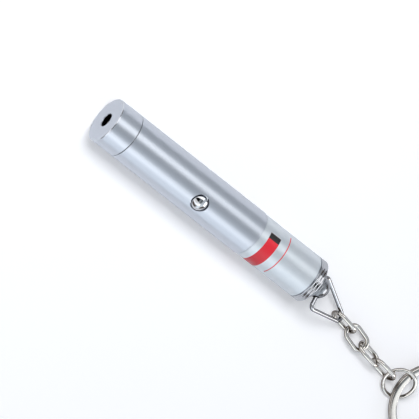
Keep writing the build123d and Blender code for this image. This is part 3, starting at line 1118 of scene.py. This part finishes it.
def makeLegs():
    bm = bmesh.new()
    for part, along, side in legPlaces():
        seat = part["level"] + math.copysign(lead["lift"], part["level"])
        place = shifted(along, side * part["halfWidth"], part["height"])
        start = place @ rotated(90 * side, "Z")
        loop = startStrip(bm, start, part["width"], lead["thickness"])
        loop = runWire(bm, loop, (0, side * lead["straight"], 0))
        loop = runWire(bm, loop, (0, side * lead["slope"], seat - part["height"]))
        runWire(bm, loop, (0, side * part["reach"], 0))
    closeEnds(bm)
    moveAll(bm, boardPlace)
    finishPiece(bm, "bentLeads", "tinPlate", "barrel", "cell_steel")


def meltJoint(bm, place, length, radius):
    # one solder joint, a low hump that thins out toward both ends
    before = set(bm.verts)
    outline = [(share * length / 2, rise * radius) for share, rise in hump]
    drawOutline(bm, outline[0], outline[1:])
    fresh = [vert for vert in bm.verts if vert not in before]
    turnRound(bm, fresh + edgesAmong(bm, fresh), 16)
    fresh = [vert for vert in bm.verts if vert not in before]
    bmesh.ops.transform(bm, matrix=place, verts=fresh)


def makeSolder():
    joints = [(shifted(pins["joint"], *spot), pins["melt"]) for spot in pins["places"]]
    for part, along, side in legPlaces():
        out = side * (part["halfWidth"] + part["jointOut"])
        joints.append((shifted(along, out, part["level"]) @ rotated(90, "Z"), part["melt"]))
    for middle, reach, rows, level, melt in endSoldered:
        for along in (middle - reach, middle + reach):
            for across in rows:
                joints.append((shifted(along, across, level) @ rotated(90, "Z"), melt))
    bm = bmesh.new()
    for place, melt in joints:
        meltJoint(bm, boardPlace @ place, *melt)
    mergePoints(bm)
    faceOutward(bm)
    finishPiece(bm, "solderJoints", "solder", "barrel", "cell_steel", sharp=60)


def makeSwitchCover(size, at):
    bm = bmesh.new()
    soften(bm, flatSquare(bm, size["width"]), size["corner"], 5, affect="VERTICES")
    grown = bmesh.ops.extrude_face_region(bm, geom=bm.faces[:])["geom"]
    bmesh.ops.translate(bm, verts=vertsOf(grown), vec=(0, 0, size["thickness"] * mm))
    faceOutward(bm)
    place = boardPlace @ shifted(at, 0, size["base"])
    moveAll(bm, place)
    plate = finishPiece(bm, "switchCover", "tinPlate", "barrel", "cell_steel")
    drillHole(plate, place, size["hole"], 2, 48)


makeLegs()
makeSolder()
makeSwitchCover(cover, button["position"])


# parts that keep their own shape and only get a finish
coveredNodes = {
    "brass": ("laser_housing", "lens_retainer"),
    "goldPlate": ("laser_diode", "diode_pins"),
    "contactBrass": ("tail_contact", "spring_plate"),
    "windowGlass": ("protective_window",),
    "lensGlass": ("collimating_lens",),
    "boardMask": ("circuit_board",),
    "blackPackage": ("driver_chip", "switch_body"),
    "resistorBody": ("bias_resistors",),
    "capacitorBody": ("filter_capacitor",),
    "whitePlastic": ("board_carrier", "switch_plunger"),
}
for finish, nodes in coveredNodes.items():
    for node in nodes:
        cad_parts[node].material_slots[0].material = finishes[finish]
stageDone("board is fitted and the inner parts are finished")


studio = {
    "floorAt": -7.0, "floorWidth": 4000.0, "floorColour": (0.77, 0.78, 0.81),
    "glowColour": (0.98, 0.98, 1.0), "seenGlow": 0.32, "shinyGlow": 0.04, "middle": 42.0,
    "camera": (-0.41, 0.0, 0.912), "cameraRight": (0.717, 0.618, 0.322),
    "lookAt": (41.62, -1.9, 0.0), "distance": 3.3, "lens": 308.0,
}
# the world's tone toward the camera, at its sides and low down; then two spans of its
# direction along the barrel, each with its softness and its brightness
sky = {
    "steps": ((0.0, 0.75), (0.35, 0.66), (0.62, 0.5), (0.78, 0.08), (1.0, 0.0)),
    "sides": (1.6, 0.6), "colour": (0.86, 0.93, 1.0), "gapColour": (0.09, 0.07, 0.06),
    "gapSteps": ((0.0, 0.12), (0.1, 0.04), (0.2, 0.0), (0.34, 0.0), (0.46, 1.0)),
    "overhead": ((-0.2, 0.16, 0.07), 0.26), "slant": ((0.2, 0.62, 0.09), 0.95),
}
# long soft lamps parallel to the barrel: degrees round it from the camera, and reach in m
strips = {
    "keyStrip": {"turn": 33.8, "power": 2.0, "size": (1.4, 0.37), "reach": 0.6},
    "fillStrip": {"turn": -41.2, "power": 1.22, "size": (1.4, 0.38), "reach": 0.6},
    "softbox": {"turn": 21.0, "power": 3.9, "size": (0.5, 0.25), "reach": 0.7},
}
endLamp = {
    "from": (0.92, 0.0, 0.38), "at": 95.0, "power": 0.8, "size": (0.4, 0.3), "reach": 0.6,
}
ringLamp = {"power": 0.0035, "size": (0.05, 0.05), "reach": 0.11}


def facing(spot, aim, side):
    # a stand whose Z axis looks back along aim and whose X axis lies nearest to side
    side = (side - side.dot(aim) * aim).normalized()
    rows = Matrix((side, aim.cross(side), aim)).transposed()
    return Matrix.Translation(spot) @ rows.to_4x4()


def makeFloor(size):
    bm = bmesh.new()
    flatSquare(bm, size["floorWidth"])
    moveAll(bm, shifted(up=size["floorAt"]))
    mesh = plainMesh(bm, "floor")
    addObject("floor", mesh)
    finish, tree, shader = startFinish("paper")
    setInputs(shader, {
        "Base Color": (*size["floorColour"], 1), "Roughness": 0.9, "Specular IOR Level": 0.0,
        "Emission Color": (*size["glowColour"], 1),
    })
    path = addNode(tree, "LightPath").outputs
    shiny = greater(tree, path["Is Glossy Ray"], path["Is Transmission Ray"])
    seen = multiplied(tree, path["Is Camera Ray"], size["seenGlow"])
    glow = mathNode(tree, "ADD", seen, multiplied(tree, shiny, size["shinyGlow"]))
    tree.links.new(glow, shader.inputs["Emission Strength"])
    mesh.materials.append(finish)


def makeWorld(size):
    world = bpy.data.worlds.new("studio")
    bpy.context.scene.world = world
    world.use_nodes = True
    tree = world.node_tree
    tree.nodes.clear()
    output = addNode(tree, "OutputWorld")
    background = addNode(tree, "Background")
    tree.links.new(background.outputs["Background"], output.inputs["Surface"])
    toward = placeNode(tree, "Generated")
    straight = addNode(tree, "VectorMath", operation="DOT_PRODUCT")
    straight.inputs[1].default_value = Vector(studio["camera"]).normalized()
    tree.links.new(toward, straight.inputs[0])
    parts = splitNode(tree, toward)
    ramp = rampNode(tree, straight.outputs["Value"], size["steps"])
    sides = spreadNode(tree, parts["Y"], *size["sides"], -1.0, 1.0)

    def span(key):
        place, level = size[key]
        return multiplied(tree, between(tree, parts["X"], *place), level)

    level = multiplied(tree, greater(tree, ramp, span("overhead")), sides)
    # the barrel's side reflects only what lies beyond its tail at one slant, where the
    # gap between the lamps and the floor is lighter
    height = rampNode(tree, parts["Z"], size["gapSteps"])
    clear = greater(tree, height, span("slant"))
    bright = addNode(tree, "VectorMath", operation="SCALE")
    bright.inputs[0].default_value = size["colour"]
    tree.links.new(level, bright.inputs["Scale"])
    colour = blendNode(tree, clear, size["gapColour"], bright.outputs[0])
    seen = addNode(tree, "LightPath").outputs["Is Camera Ray"]
    backdrop = blendNode(tree, seen, colour, (1.0, 1.0, 1.0))
    tree.links.new(backdrop, background.inputs["Color"])


def addLamp(name, size, place, shape="RECTANGLE", shiny=True, matt=False):
    lamp = bpy.data.lights.new(name, "AREA")
    lamp.shape = shape
    lamp.size, lamp.size_y = size["size"]
    lamp.energy = size["power"]
    holder = addObject(name, lamp)
    holder.matrix_world = place
    holder.visible_glossy = shiny
    holder.visible_diffuse = matt


def addStrip(name, **seen):
    size = strips[name]
    toward = rotated(-size["turn"], "X") @ Vector(studio["camera"]).normalized()
    spot = Vector((studio["middle"] * mm, 0, 0)) + toward * size["reach"]
    addLamp(name, size, facing(spot, toward, Vector((1, 0, 0))), **seen)


def addEndLamp(size):
    # a low lamp beyond the tail, seen only in the bright metal of the bail and chain
    aim = Vector(size["from"]).normalized()
    spot = Vector((size["at"] * mm, 0, 0)) + aim * size["reach"]
    addLamp("endLamp", size, facing(spot, aim, Vector((0, 1, 0))))


def addRingLamp(size):
    # a small low lamp that lights up the flat coils of the split ring
    low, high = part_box("split_ring")
    along, _, up = studio["camera"]
    aim = Vector((-along, 0, up)).normalized()
    spot = (Vector(low) + Vector(high)) / 2 + aim * size["reach"]
    addLamp("ringLamp", size, facing(spot, aim, Vector((0, 1, 0))), shape="DISK")


def makeCamera(size):
    camera = bpy.data.cameras.new("camera")
    camera.lens = size["lens"] * size["distance"]
    camera.sensor_width = 36.0
    camera.clip_start = 0.1
    camera.clip_end = 20.0
    holder = addObject("camera", camera)
    back = Vector(size["camera"]).normalized()
    spot = Vector(size["lookAt"]) * mm + back * size["distance"]
    holder.matrix_world = facing(spot, back, Vector(size["cameraRight"]))
    bpy.context.scene.camera = holder


makeFloor(studio)
makeWorld(sky)
addStrip("keyStrip")
addStrip("fillStrip")
addEndLamp(endLamp)
addRingLamp(ringLamp)
addStrip("softbox", shiny=False, matt=True)
makeCamera(studio)
bpy.context.scene.view_settings.view_transform = "Standard"
stageDone("floor, lamps and camera are set")
